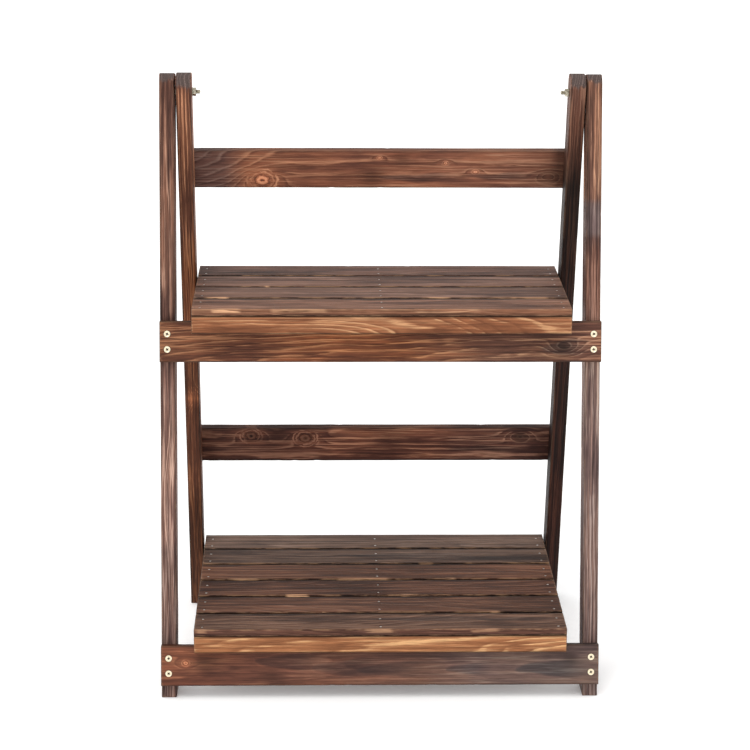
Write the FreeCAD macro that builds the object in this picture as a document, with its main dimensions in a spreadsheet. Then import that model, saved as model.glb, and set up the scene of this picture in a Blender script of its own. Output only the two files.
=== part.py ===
import FreeCAD, Part
import math
import os
import Sketcher

# Two-tier folding plant stand: a front leg frame and a back leg frame hinged
# together at the top, and two slatted shelves that pivot on the back legs and
# hook over the front rails.  Millimetres, +X right, +Y to the back, +Z up.
# The origin is on the floor, under the middle of the stand's outline.

V = FreeCAD.Vector
ROT = FreeCAD.Rotation
PLA = FreeCAD.Placement
X_AXIS = V(1, 0, 0)

doc = FreeCAD.newDocument("folding_plant_stand")
sheet = doc.addObject("Spreadsheet::Sheet", "dims")

LEAN = 11.5
PIVOT_Z = 809.0
DEPTH = 38.0
SLAT_W, SLAT_GAP = 55.0, 5.0
sin_a, cos_a = math.sin(math.radians(LEAN)), math.cos(math.radians(LEAN))
RAIL_H, RAIL_T = 56.0, 13.0
FRONT_LOW, FRONT_HIGH = 810.6, 365.7     # rail's bottom edge, down the leg from the pivot
BACK_LOW, BACK_HIGH = 593.7, 150.8
REST_GAP = 0.3                           # between batten and the rail it rests on
SLAT_T, BATTEN_H = 10.0, 20.0
DROP = 17.5                              # shelf pivot below the slat tops
REAR_LOW, REAR_HIGH = 11.0, 35.0         # shelf behind its pivot
LEN_LOW, LEN_HIGH = 6 * SLAT_W + 5 * SLAT_GAP, 4 * SLAT_W + 3 * SLAT_GAP


def rail_top(s_bottom):
    """Height of a front rail's upper front edge above the floor."""
    return PIVOT_Z + (DEPTH / 2 + RAIL_T) * sin_a - (s_bottom - RAIL_H) * cos_a


top_low = rail_top(FRONT_LOW) + REST_GAP + BATTEN_H + SLAT_T
top_high = rail_top(FRONT_HIGH) + REST_GAP + BATTEN_H + SLAT_T
# shelf pivots lie on the middle plane of the back legs
back_low = (PIVOT_Z - (top_low - DROP)) * sin_a / cos_a
back_high = (PIVOT_Z - (top_high - DROP)) * sin_a / cos_a
heel = (PIVOT_Z + DEPTH / 2 * sin_a) / cos_a * sin_a + DEPTH / 2 * cos_a
# outline runs from the lower shelf's lip to the heels of the back legs
pivot_y = -(heel + back_low + REAR_LOW - LEN_LOW) / 2

CELLS = [
    ("overall_width", 600.0),
    ("leg_thickness", 21.0),
    ("leg_depth", DEPTH),
    ("leg_gap", 1.5),
    ("lean_angle", LEAN),
    ("pivot_height", PIVOT_Z),
    ("pivot_offset", round(pivot_y, 4)),
    ("leg_above_pivot", 25.0),
    ("leg_end_radius", 14.0),
    ("foot_toe", round((PIVOT_Z + DEPTH / 2 * sin_a) / cos_a, 4)),
    ("foot_heel", round((PIVOT_Z - DEPTH / 2 * sin_a) / cos_a, 4)),
    ("rail_height", RAIL_H),
    ("rail_thickness", RAIL_T),
    ("front_rail_low", FRONT_LOW),
    ("front_rail_high", FRONT_HIGH),
    ("back_rail_low", BACK_LOW),
    ("back_rail_high", BACK_HIGH),
    ("rail_screw_pitch", 21.0),
    ("slat_width", SLAT_W),
    ("slat_gap", SLAT_GAP),
    ("slat_thickness", SLAT_T),
    ("shelf_width", 508.0),
    ("batten_height", BATTEN_H),
    ("batten_width", 22.0),
    ("lip_height", 25.0),
    ("lip_thickness", 14.0),
    ("shelf_pivot_drop", DROP),
    ("lower_shelf_top", round(top_low, 4)),
    ("upper_shelf_top", round(top_high, 4)),
    ("lower_pivot_back", round(back_low, 4)),
    ("upper_pivot_back", round(back_high, 4)),
    ("lower_rear", REAR_LOW),
    ("upper_rear", REAR_HIGH),
    ("bolt_radius", 3.0),
    ("running_radius", 3.06),
    ("snug_radius", 3.02),
    ("bolt_head_radius", 6.4),
    ("bolt_head_height", 2.2),
    ("recess_radius", 7.0),
    ("recess_depth", 2.5),
    ("pivot_bolt_length", 53.0),
    ("shelf_screw_length", 39.0),
    ("nut_flats", 10.0),
    ("nut_height", 4.6),
    ("washer_radius", 6.0),
    ("washer_thickness", 1.2),
    ("spacer_thickness", 1.1),
    ("shelf_washer_thickness", 1.6),
    ("screw_head_radius", 4.6),
    ("screw_head_height", 2.8),
    ("screw_radius", 2.0),
    ("screw_length", 38.0),
    ("screw_hole_radius", 2.05),
    ("nail_head_radius", 1.7),
    ("nail_head_height", 0.8),
    ("nail_radius", 0.8),
    ("nail_length", 23.0),
    ("nail_hole_radius", 0.85),
    ("nail_recess_radius", 1.8),
    ("nail_recess_depth", 1.0),
    ("nail_front_offset", 17.5),
    ("nail_rear_offset", 10.0),
]
for row, (alias, number) in enumerate(CELLS, 1):
    sheet.set("A%d" % row, alias)
    sheet.set("B%d" % row, repr(float(number)))
    sheet.setAlias("B%d" % row, alias)
doc.recompute()


def val(alias):
    return float(sheet.get(alias))


def plane(body, role):
    return [f for f in body.Origin.OriginFeatures if f.Role == role][0]


def constrain_point(sk, geo, pos, x, y, ex, ey):
    """Ties a sketch point to the sketch origin; the expressions give distances."""
    for kind, value, text, axis in (("DistanceX", x, ex, -2), ("DistanceY", y, ey, -1)):
        if abs(value) < 1e-9:
            sk.addConstraint(Sketcher.Constraint("PointOnObject", geo, pos, axis))
            continue
        if value > 0:
            i = sk.addConstraint(Sketcher.Constraint(kind, -1, 1, geo, pos, value))
        else:
            i = sk.addConstraint(Sketcher.Constraint(kind, geo, pos, -1, 1, -value))
        name = "c%d" % i
        sk.renameConstraint(i, name)
        sk.setExpression("Constraints." + name, text)


def circles(body, name, role, centres, radius, offset=None):
    """Sketch of equal circles: centres are (x, y, expression x, expression y)."""
    sk = body.newObject("Sketcher::SketchObject", name)
    sk.AttachmentSupport = (plane(body, role), [""])
    sk.MapMode = "FlatFace"
    if offset:
        sk.setExpression("AttachmentOffset.Base.z", offset)
    for x, y, ex, ey in centres:
        g = sk.addGeometry(Part.Circle(V(x, y, 0), V(0, 0, 1), val(radius)), False)
        i = sk.addConstraint(Sketcher.Constraint("Radius", g, val(radius)))
        sk.renameConstraint(i, "r%d" % i)
        sk.setExpression("Constraints.r%d" % i, "dims." + radius)
        constrain_point(sk, g, 3, x, y, ex, ey)
    return sk


def pocket(body, name, sk, length, reverse):
    doc.recompute()
    before = body.Shape.Volume
    p = body.newObject("PartDesign::Pocket", name)
    p.Profile = sk
    p.Reversed = reverse
    p.setExpression("Length", length)
    doc.recompute()
    if not body.Shape.Volume < before - 1.0:
        raise RuntimeError(name + " cuts nothing")
    return p


NODES = {}


def leg(label, front, left):
    """A leg in its frame's own axes: the top pivot at the origin, +Z up the leg."""
    t, d = val("leg_thickness"), val("leg_depth")
    body = doc.addObject("PartDesign::Body", label)
    body.Label = label
    toe, heel_len, top = val("foot_toe"), val("foot_heel"), val("leg_above_pivot")
    # the foot is sawn level with the floor, so its outward corner is the lower one
    low = (toe, heel_len) if front else (heel_len, toe)
    names = ("foot_toe", "foot_heel") if front else ("foot_heel", "foot_toe")
    pts = [(-d / 2, -low[0]), (d / 2, -low[1]), (d / 2, top), (-d / 2, top)]
    ey = ["dims." + names[0], "dims." + names[1], "dims.leg_above_pivot", "dims.leg_above_pivot"]
    sk = body.newObject("Sketcher::SketchObject", label + "_side")
    sk.AttachmentSupport = (plane(body, "YZ_Plane"), [""])
    sk.MapMode = "FlatFace"
    for i in range(4):
        a, b = pts[i], pts[(i + 1) % 4]
        sk.addGeometry(Part.LineSegment(V(a[0], a[1], 0), V(b[0], b[1], 0)), False)
    for i in range(4):
        sk.addConstraint(Sketcher.Constraint("Coincident", i, 2, (i + 1) % 4, 1))
    for i, (y, z) in enumerate(pts):
        constrain_point(sk, i, 1, y, z, "dims.leg_depth / 2", ey[i])
    pad = body.newObject("PartDesign::Pad", label + "_board")
    pad.Profile = sk
    pad.setExpression("Length", "dims.leg_thickness")
    doc.recompute()
    ends = []
    for n, e in enumerate(pad.Shape.Edges, 1):
        p, q = e.Vertexes[0].Point, e.Vertexes[-1].Point
        if abs(p.x - q.x) > 1 and min(p.z, q.z) > top - 0.01:
            ends.append("Edge%d" % n)
    fil = body.newObject("PartDesign::Fillet", label + "_round_end")
    fil.Base = (pad, ends)
    fil.setExpression("Radius", "dims.leg_end_radius")
    # pivot hole, right through
    sk = circles(body, label + "_pivot_centre", "YZ_Plane", [(0, 0, "0", "0")], "running_radius")
    pocket(body, label + "_pivot_hole", sk, "dims.leg_thickness", True)
    if front:
        recesses = [(0, 0, "0", "0")]
    else:
        s1 = (val("pivot_height") - val("lower_shelf_top") + val("shelf_pivot_drop")) / cos_a
        s2 = (val("pivot_height") - val("upper_shelf_top") + val("shelf_pivot_drop")) / cos_a
        form = "(dims.pivot_height - dims.%s_shelf_top + dims.shelf_pivot_drop) / cos(dims.lean_angle * 1 deg)"
        recesses = [(0, -s1, "0", form % "lower"), (0, -s2, "0", form % "upper")]
        sk = circles(body, label + "_shelf_pivots", "YZ_Plane", recesses, "running_radius")
        pocket(body, label + "_shelf_holes", sk, "dims.leg_thickness", True)
    # recesses that hide the pivot heads in the leg's outer face
    if left:
        sk = circles(body, label + "_recess_centres", "YZ_Plane", recesses, "recess_radius")
        pocket(body, label + "_recesses", sk, "dims.recess_depth", True)
    else:
        sk = circles(body, label + "_recess_centres", "YZ_Plane", recesses, "recess_radius", "dims.leg_thickness")
        pocket(body, label + "_recesses", sk, "dims.recess_depth", False)
    # holes that the rail screws are driven into
    spots = []
    for name in (("front_rail_low", "front_rail_high") if front else ("back_rail_low", "back_rail_high")):
        for k, sign in ((1, "+"), (-1, "-")):
            s = val(name) - val("rail_height") / 2 + k * val("rail_screw_pitch") / 2
            text = "dims.%s - dims.rail_height / 2 %s dims.rail_screw_pitch / 2" % (name, sign)
            spots.append((t / 2, -s, "dims.leg_thickness / 2", text))
    offset = "dims.leg_depth / 2" if front else "-dims.leg_depth / 2"
    sk = circles(body, label + "_screw_centres", "XZ_Plane", spots, "screw_hole_radius", offset)
    pocket(body, label + "_screw_holes", sk, "dims.screw_length - dims.rail_thickness + 1", not front)
    w, g = val("overall_width") / 2, val("leg_gap")
    if front:
        x = -w if left else w - t
    else:
        x = -w + t + g if left else w - 2 * t - g
    body.Placement = PLA(V(x, val("pivot_offset"), val("pivot_height")), ROT(X_AXIS, -LEAN if front else LEAN))
    NODES[label] = body
    return body


def box(name, length, width, height, at):
    o = doc.addObject("Part::Box", name)
    o.setExpression("Length", length)
    o.setExpression("Width", width)
    o.setExpression("Height", height)
    o.Placement = PLA(V(*at), ROT())
    return o


def cylinder(name, radius, height, at, rot=ROT()):
    o = doc.addObject("Part::Cylinder", name)
    o.setExpression("Radius", radius)
    o.setExpression("Height", height)
    o.Placement = PLA(V(*at), rot)
    return o


def cone(name, r1, r2, height, at, rot=ROT()):
    o = doc.addObject("Part::Cone", name)
    o.setExpression("Radius1", r1)
    o.setExpression("Radius2", r2)
    o.setExpression("Height", height)
    o.Placement = PLA(V(*at), rot)
    return o


def fuse(name, pieces):
    o = doc.addObject("Part::MultiFuse", name)
    o.Shapes = pieces
    return o


def cut(label, base, tools, placement=None):
    """A board with its holes; several tools are joined first."""
    tool = tools[0] if len(tools) == 1 else fuse(label + "_tools", tools)
    o = doc.addObject("Part::Cut", label)
    o.Label = label
    o.Base = base
    o.Tool = tool
    if placement:
        o.Placement = placement
    NODES[label] = o
    return o


ALONG_Y = ROT(X_AXIS, -90)       # local +Z turned to +Y
AGAINST_Y = ROT(X_AXIS, 90)      # local +Z turned to -Y
ALONG_X = ROT(V(0, 1, 0), 90)
AGAINST_X = ROT(V(0, 1, 0), -90)

# fastener patterns, each lying along +Z with the outer face of its head at 0
head = cone("screw_head", "dims.screw_head_radius", "dims.screw_radius", "dims.screw_head_height", (0, 0, 0))
shank = cylinder("screw_shank", "dims.screw_radius", "dims.screw_length - 5", (0, 0, 0))
tip = cone("screw_tip", "dims.screw_radius", "dims.screw_radius / 8", "5", (0, 0, val("screw_length") - 5))
screw_blank = fuse("screw_blank", [head, shank, tip])
drive_a = box("screw_drive_a", "5", "1.1", "1.6", (-2.5, -0.55, 0))
drive_b = box("screw_drive_b", "1.1", "5", "1.6", (-0.55, -2.5, 0))
screw = doc.addObject("Part::Cut", "screw_pattern")
screw.Base, screw.Tool = screw_blank, fuse("screw_drive", [drive_a, drive_b])
nail = fuse("nail_pattern", [
    cylinder("nail_head", "dims.nail_head_radius", "dims.nail_head_height", (0, 0, 0)),
    cylinder("nail_shank", "dims.nail_radius", "dims.nail_length", (0, 0, 0)),
])
pivot_bolt = fuse("pivot_bolt_pattern", [
    cylinder("bolt_head", "dims.bolt_head_radius", "dims.bolt_head_height", (0, 0, 0)),
    cylinder("bolt_shank", "dims.bolt_radius", "dims.pivot_bolt_length + dims.bolt_head_height - 0.8", (0, 0, 0)),
    cone("bolt_end", "dims.bolt_radius", "dims.bolt_radius - 0.8", "0.8", (0, 0, val("pivot_bolt_length") + val("bolt_head_height") - 0.8)),
])
shelf_screw = fuse("shelf_screw_pattern", [
    cylinder("shelf_screw_head", "dims.bolt_head_radius", "dims.bolt_head_height", (0, 0, 0)),
    cylinder("shelf_screw_shank", "dims.bolt_radius", "dims.shelf_screw_length + dims.bolt_head_height - 3", (0, 0, 0)),
    cone("shelf_screw_end", "dims.bolt_radius", "dims.bolt_radius / 3", "3", (0, 0, val("shelf_screw_length") + val("bolt_head_height") - 3)),
])


def ring(name, radius, thickness):
    o = doc.addObject("Part::Cut", name)
    o.Base = cylinder(name + "_disc", radius, thickness, (0, 0, 0))
    o.Tool = cylinder(name + "_hole", "dims.snug_radius", "10", (0, 0, -2))
    return o


washer = ring("washer_pattern", "dims.washer_radius", "dims.washer_thickness")
spacer = ring("spacer_pattern", "dims.washer_radius", "dims.spacer_thickness")
shelf_washer = ring("shelf_washer_pattern", "dims.washer_radius", "dims.shelf_washer_thickness")
hexagon = doc.addObject("Part::Prism", "nut_hexagon")
hexagon.Polygon = 6
hexagon.setExpression("Circumradius", "dims.nut_flats / 2 / cos(30 deg)")
hexagon.setExpression("Height", "dims.nut_height")
nut_round = doc.addObject("Part::Common", "nut_turned")
nut_cone = cone("nut_turning", "dims.nut_flats / 2 + 2.4", "dims.nut_flats / 2 + 0.1", "dims.nut_height", (0, 0, 0))
nut_round.Base, nut_round.Tool = hexagon, nut_cone
nut = doc.addObject("Part::Cut", "nut_pattern")
nut.Base, nut.Tool = nut_round, cylinder("nut_thread", "dims.snug_radius", "20", (0, 0, -5))
doc.recompute()


def group(label, pattern, spots, placement=None):
    """Identical fasteners at several spots, each a solid of its own."""
    o = doc.addObject("Part::Feature", label)
    o.Label = label
    solids = []
    for at, rot in spots:
        s = pattern.Shape.copy()
        s.Placement = PLA(V(*at), rot)
        solids.append(s.Solids[0])
    o.Shape = Part.makeCompound(solids)
    if placement:
        o.Placement = placement
    NODES[label] = o
    return o


w = val("overall_width") / 2
t, g, d = val("leg_thickness"), val("leg_gap"), val("leg_depth")
back_outer = w - t - g
back_inner = back_outer - t
rh, rt = val("rail_height"), val("rail_thickness")
pivot = V(0, val("pivot_offset"), val("pivot_height"))
FRONT = PLA(pivot, ROT(X_AXIS, -LEAN))
BACK = PLA(pivot, ROT(X_AXIS, LEAN))

# ---- leg frames -----------------------------------------------------------
for label, front, left in (
    ("front_leg_left", True, True),
    ("front_leg_right", True, False),
    ("back_leg_left", False, True),
    ("back_leg_right", False, False),
):
    leg(label, front, left)

# ---- rails, screwed across the outer faces of their legs --------------------
for label, alias, front in (
    ("front_rail_lower", "front_rail_low", True),
    ("front_rail_upper", "front_rail_high", True),
    ("back_rail_lower", "back_rail_low", False),
    ("back_rail_upper", "back_rail_high", False),
):
    half = w if front else back_outer
    s = val(alias)
    length = "dims.overall_width" if front else "dims.overall_width - 2 * dims.leg_thickness - 2 * dims.leg_gap"
    y0 = -d / 2 - rt if front else d / 2
    board = box(label + "_board", length, "dims.rail_thickness", "dims.rail_height", (-half, y0, -s))
    face = -d / 2 - rt if front else d / 2 + rt
    turn = ALONG_Y if front else AGAINST_Y
    spots = []
    for sx in (-1, 1):
        for k in (-1, 1):
            spots.append((sx * (half - t / 2), face, -s + rh / 2 + k * val("rail_screw_pitch") / 2))
    tools = []
    for n, at in enumerate(spots):
        tools.append(cylinder("%s_hole%d" % (label, n), "dims.screw_hole_radius", "dims.rail_thickness + 2", at, turn))
        tools.append(cone("%s_sink%d" % (label, n), "dims.screw_head_radius + 0.05", "dims.screw_radius + 0.05", "dims.screw_head_height", at, turn))
    place = FRONT if front else BACK
    cut(label, board, tools, place)
    group(label + "_screws", screw, [(at, turn) for at in spots], place)

# ---- top pivots: bolt, spacer washer, end washer and nut on each side -------
rd, hh = val("recess_depth"), val("bolt_head_height")
bolts, spacers, washers, nuts = [], [], [], []
for side in (-1, 1):
    turn = ALONG_X if side < 0 else AGAINST_X
    bolts.append(((side * (w - rd + hh), 0, 0), turn))
    spacers.append(((side * (w - t), 0, 0), turn))
    face = back_inner - 0.2
    washers.append(((side * face, 0, 0), turn))
    nuts.append(((side * (face - val("washer_thickness")), 0, 0), turn))
group("pivot_bolts", pivot_bolt, bolts, FRONT)
group("pivot_spacer_washers", spacer, spacers, FRONT)
group("pivot_end_washers", washer, washers, FRONT)
group("pivot_nuts", nut, nuts, FRONT)

# ---- shelves ---------------------------------------------------------------
hw = val("shelf_width") / 2
bw, bh, st = val("batten_width"), val("batten_height"), val("slat_thickness")
# two nails in each slat and batten, the rear one set in to miss the pivot screw
nail_y = (-val("nail_front_offset"), val("nail_rear_offset"))
nail_x =(-hw + bw / 2, 0.0, hw - bw / 2)
for shelf, count, top_name, back_name, rear_name in (
    ("lower", 6, "lower_shelf_top", "lower_pivot_back", "lower_rear"),
    ("upper", 4, "upper_shelf_top", "upper_pivot_back", "upper_rear"),
):
    top = val(top_name)
    py = val("pivot_offset") + val(back_name)
    rear = py + val(rear_name)
    pitch = val("slat_width") + val("slat_gap")
    length = count * pitch - val("slat_gap")
    front = rear - length
    lip_t = val("lip_thickness")
    nails = []
    # slats run across the shelf, counted from the back
    for n in range(1, count + 1):
        label = "%s_slat_%d" % (shelf, n)
        y0 = rear - (n - 1) * pitch - val("slat_width")
        board = box(label + "_board", "dims.shelf_width", "dims.slat_width", "dims.slat_thickness", (-hw, 0, -st))
        tools = []
        for i, x in enumerate(nail_x):
            for j, dy in enumerate(nail_y):
                at = (x, val("slat_width") / 2 + dy, 1.0)
                down = ROT(X_AXIS, 180)
                tools.append(cylinder("%s_hole%d%d" % (label, i, j), "dims.nail_hole_radius", "dims.slat_thickness + 2", at, down))
                tools.append(cylinder("%s_recess%d%d" % (label, i, j), "dims.nail_recess_radius", "1 + dims.nail_recess_depth", at, down))
                nails.append((x, y0 + val("slat_width") / 2 + dy))
        cut(label, board, tools, PLA(V(0, y0, top), ROT()))
    group("%s_slat_nails" % shelf, nail, [((x, y, -0.2), ROT(X_AXIS, 180)) for x, y in nails], PLA(V(0, 0, top), ROT()))
    # battens under the slats, from the lip to the back edge
    b_len = "%d * (dims.slat_width + dims.slat_gap) - dims.slat_gap - dims.lip_thickness" % count
    for side, x0 in (("left", -hw), ("middle", -bw / 2), ("right", hw - bw)):
        label = "%s_batten_%s" % (shelf, side)
        board = box(label + "_board", "dims.batten_width", b_len, "dims.batten_height", (0, 0, 0))
        tools = []
        for i, y in enumerate(sorted({round(y, 4) for x, y in nails})):
            if y > front + lip_t:
                tools.append(cylinder("%s_hole%d" % (label, i), "dims.nail_hole_radius", "dims.nail_length - dims.slat_thickness + 2", (bw / 2, y - front - lip_t, bh), ROT(X_AXIS, 180)))
        if side != "middle":
            tools.append(cylinder(label + "_pivot", "dims.snug_radius", "dims.batten_width + 2", (-1, py - front - lip_t, bh + st - DROP), ALONG_X))
        cut(label, board, tools, PLA(V(x0, front + lip_t, top - st - bh), ROT()))
    # lip along the front edge, which hooks over the rail
    label = "%s_front_lip" % shelf
    board = box(label + "_board", "dims.shelf_width", "dims.lip_thickness", "dims.lip_height", (-hw, 0, 0))
    tools = []
    for i, x in enumerate(nail_x):
        y = val("slat_width") / 2 + nail_y[0]
        tools.append(cylinder("%s_hole%d" % (label, i), "dims.nail_hole_radius", "dims.nail_length - dims.slat_thickness + 2", (x, y, val("lip_height")), ROT(X_AXIS, 180)))
    cut(label, board, tools, PLA(V(0, front, top - st - val("lip_height")), ROT()))
    # pivot screws through the back legs, and the washers beside the shelf
    place = PLA(V(0, py, top - DROP), ROT())
    screws, rings = [], []
    for side in (-1, 1):
        turn = ALONG_X if side < 0 else AGAINST_X
        screws.append(((side * (back_outer - 0.15), 0, 0), turn))
        rings.append(((side * (hw + val("shelf_washer_thickness")), 0, 0), turn))
    group("%s_shelf_pivot_screws" % shelf, shelf_screw, screws, place)
    group("%s_shelf_washers" % shelf, shelf_washer, rings, place)

doc.recompute()

# ---- checks, then one file for each piece ----------------------------------
for o in doc.Objects:
    bad = [s for s in o.State if s in ("Invalid", "Error")]
    if bad:
        raise RuntimeError("%s is %s" % (o.Label, bad))
for label, o in NODES.items():
    if o.Label != label:
        raise RuntimeError("%s was renamed %s" % (label, o.Label))
    if o.Shape.isNull() or not o.Shape.isValid() or not o.Shape.Solids:
        raise RuntimeError(label + " has no valid solid")
os.makedirs("parts", exist_ok=True)
for label, o in NODES.items():
    o.Shape.exportStep("parts/%s.step" % label)
box_all = FreeCAD.BoundBox()
for o in NODES.values():
    box_all.add(o.Shape.BoundBox)
print("nodes", len(NODES), "box", [round(v, 3) for v in (box_all.XMin, box_all.XMax, box_all.YMin, box_all.YMax, box_all.ZMin, box_all.ZMax)])
print("pivot y %.4f lower top %.4f y %.4f upper top %.4f y %.4f" % (val("pivot_offset"), val("lower_shelf_top"), val("pivot_offset") + val("lower_pivot_back"), val("upper_shelf_top"), val("pivot_offset") + val("upper_pivot_back")))
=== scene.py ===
import math

import bmesh
import bpy
import numpy as np
from mathutils import Matrix, Vector


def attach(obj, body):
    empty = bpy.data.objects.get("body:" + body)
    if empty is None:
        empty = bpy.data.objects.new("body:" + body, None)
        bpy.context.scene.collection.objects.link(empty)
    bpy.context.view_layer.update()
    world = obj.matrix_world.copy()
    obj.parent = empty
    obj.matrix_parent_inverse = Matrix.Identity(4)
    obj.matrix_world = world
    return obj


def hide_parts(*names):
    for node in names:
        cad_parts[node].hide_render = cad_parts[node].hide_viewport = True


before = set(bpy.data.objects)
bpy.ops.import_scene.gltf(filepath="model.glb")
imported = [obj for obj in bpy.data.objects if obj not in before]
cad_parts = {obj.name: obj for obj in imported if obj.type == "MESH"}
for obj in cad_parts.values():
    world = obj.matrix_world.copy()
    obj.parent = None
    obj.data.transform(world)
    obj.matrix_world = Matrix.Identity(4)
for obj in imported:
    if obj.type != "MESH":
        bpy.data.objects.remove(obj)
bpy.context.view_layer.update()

# Folding plant stand in carbonised fir: boards with brushed grain, rounded and
# worn edges, countersunk screws, nails and pivot hardware.  Local board axes:
# u along the grain, v across the face, w through the thickness.  Millimetres
# in the helpers, metres in the meshes.

LEAN = math.radians(11.5)
SA, CA = math.sin(LEAN), math.cos(LEAN)
PIVOT_Y, PIVOT_Z = 6.7385, 809.0
FRONT_Y, FRONT_Z = np.array((0, CA, -SA)), np.array((0, SA, CA))
BACK_Y, BACK_Z = np.array((0, CA, SA)), np.array((0, -SA, CA))
X, Y, Z = np.eye(3)
PIVOT = np.array((0.0, PIVOT_Y, PIVOT_Z))


# ---- seeded noise ----------------------------------------------------------
def lattice(i, j, k, seed):
    h = (
        i.astype(np.uint32) * np.uint32(0x9E3779B1)
        ^ j.astype(np.uint32) * np.uint32(0x85EBCA77)
        ^ k.astype(np.uint32) * np.uint32(0xC2B2AE3D)
        ^ np.uint32((seed * 668265263) & 0xFFFFFFFF)
    )
    for shift, mul in ((15, 0x2C1B3C6D), (12, 0x297A2D39)):
        h = (h ^ (h >> np.uint32(shift))) * np.uint32(mul)
    h = h ^ (h >> np.uint32(15))
    return h.astype(np.float64) / 2147483648.0 - 1.0


def noise(x, y, z, seed):
    """Smooth value noise from -1 to 1."""
    x, y, z = np.broadcast_arrays(*(np.asarray(c, float) for c in (x, y, z)))
    ix, iy, iz = (np.floor(c).astype(np.int64) for c in (x, y, z))
    f = [c - i for c, i in zip((x, y, z), (ix, iy, iz))]
    f = [t * t * (3 - 2 * t) for t in f]
    out = 0.0
    for a in (0, 1):
        for b in (0, 1):
            for c in (0, 1):
                weight = (f[0] if a else 1 - f[0]) * (f[1] if b else 1 - f[1]) * (f[2] if c else 1 - f[2])
                out = out + weight * lattice(ix + a, iy + b, iz + c, seed)
    return out


def step(lo, hi, x):
    t = np.clip((x - lo) / (hi - lo), 0, 1)
    return t * t * (3 - 2 * t)


# ---- boards ----------------------------------------------------------------
def ring_loop(hv, hw, r, nv, nw, nc=3):
    """Rounded rectangle, counter-clockwise seen from +u: points, outward normals, corner weights."""
    pts, nor, cor = [], [], []
    sv, sw = np.linspace(1, -1, nv + 1), np.linspace(1, -1, nw + 1)
    faces = (
        [(s * (hv - r), hw, 0, 1) for s in sv],
        [(-hv, s * (hw - r), -1, 0) for s in sw],
        [(-s * (hv - r), -hw, 0, -1) for s in sv],
        [(hv, -s * (hw - r), 1, 0) for s in sw],
    )
    centres = ((-1, 1, 90), (-1, -1, 180), (1, -1, 270), (1, 1, 0))
    for side, (cv, cw, a0) in zip(faces, centres):
        last = len(side) - 1
        for n, (v, w, a, b) in enumerate(side):
            pts.append((v, w))
            nor.append((a, b))
            cor.append(0.55 if n in (0, last) else 0.0)
        for k in range(1, nc):
            t = math.radians(a0 + 90 * k / nc)
            pts.append((cv * (hv - r) + r * math.cos(t), cw * (hw - r) + r * math.sin(t)))
            nor.append((math.cos(t), math.sin(t)))
            cor.append(1.0)
    return np.array(pts), np.array(nor), np.array(cor)


def stations(lo, hi, pitch, fine):
    """Section positions along a board, closer together near the knots."""
    marks = list(np.linspace(lo, hi, max(2, int(round((hi - lo) / pitch)) + 1)))
    for at in fine:
        marks += [m for m in np.arange(at - 18, at + 18.1, 1.5) if lo < m < hi]
    marks = sorted(marks)
    kept = [marks[0]]
    for m in marks[1:]:
        if m - kept[-1] > 0.7:
            kept.append(m)
    kept[-1] = marks[-1]
    return kept


def ring_phase(u, v, w, g, seed):
    """Growth rings counted out from the pith, bent by slow drift and round the knots."""
    drift = g.get("drift", 1.5)
    tilt = g.get("tilt", (0, 0))
    near, far, sink = g.get("rise", (0, 1, 0))
    pv = g["pith"][0] + tilt[0] * u + drift * noise(u / 90, 0.3, 0, seed + 1)
    pw = g["pith"][1] + tilt[1] * u + sink * step(near, far, u) + drift * noise(u / 110, 7.3, 0, seed + 2)
    dist = np.sqrt((v - pv) ** 2 + (w - pw) ** 2)
    dist = dist + 0.9 * noise(u / 45, v / 14, w / 14, seed + 3)
    phase = dist / g["ring"]
    phase = phase + 0.9 * noise(phase / 2.3, 0, 0, seed + 4)
    for ku, kc, kr, across in g.get("knots", ()):
        c = w if across == "w" else v
        d2 = ((u - ku) / (kr * 3.4)) ** 2 + ((c - kc) / (kr * 1.7)) ** 2
        phase = phase + 3.2 * min(1.0, kr / 6) * np.exp(-d2)
    return phase


def knot_field(u, v, w, g):
    """Distance from the nearest knot's middle, in knot radii, across v or w; a buried knot only turns the grain."""
    best = np.full(u.shape, 9.0)
    for ku, kc, kr, across in g.get("knots", ()):
        c = w if across == "w" else v
        d = np.sqrt(((u - ku) / (kr * 1.25)) ** 2 + ((c - kc) / kr) ** 2)
        if kr < 4:
            d = np.maximum(d, 1 + 2.5 * (d - 1))
        best = np.minimum(best, d + 2.4 if across == "buried" else d)
    return best


# ---- tone along a board ------------------------------------------------------
def tongue_tone(u, v, tints, tongues):
    """Tongues of slate-dark wood that open from a tip, (u, v, half width, length, tint), each with a paler rim."""
    for k, (tu, tv, half, length, shade) in enumerate(tongues):
        x = u - tu + 4 * noise(u / 30, v / 9, k * 3.1, 71)
        side = half * np.sqrt(np.clip(x / (0.55 * length), 0, 1)) - np.abs(v - tv + 2.5 * noise(u / 26, k * 5.3, 0, 73))
        runs = step(-3, 3, x) * (1 - step(0.45 * length, length, x))
        tints *= 1 + 0.22 * (np.exp(-((side + 2.4) / 1.8) ** 2) * runs)[:, None]
        tints *= 1 - (step(-1.2, 1.8, side) * runs)[:, None] * (1 - np.array(shade))


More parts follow.
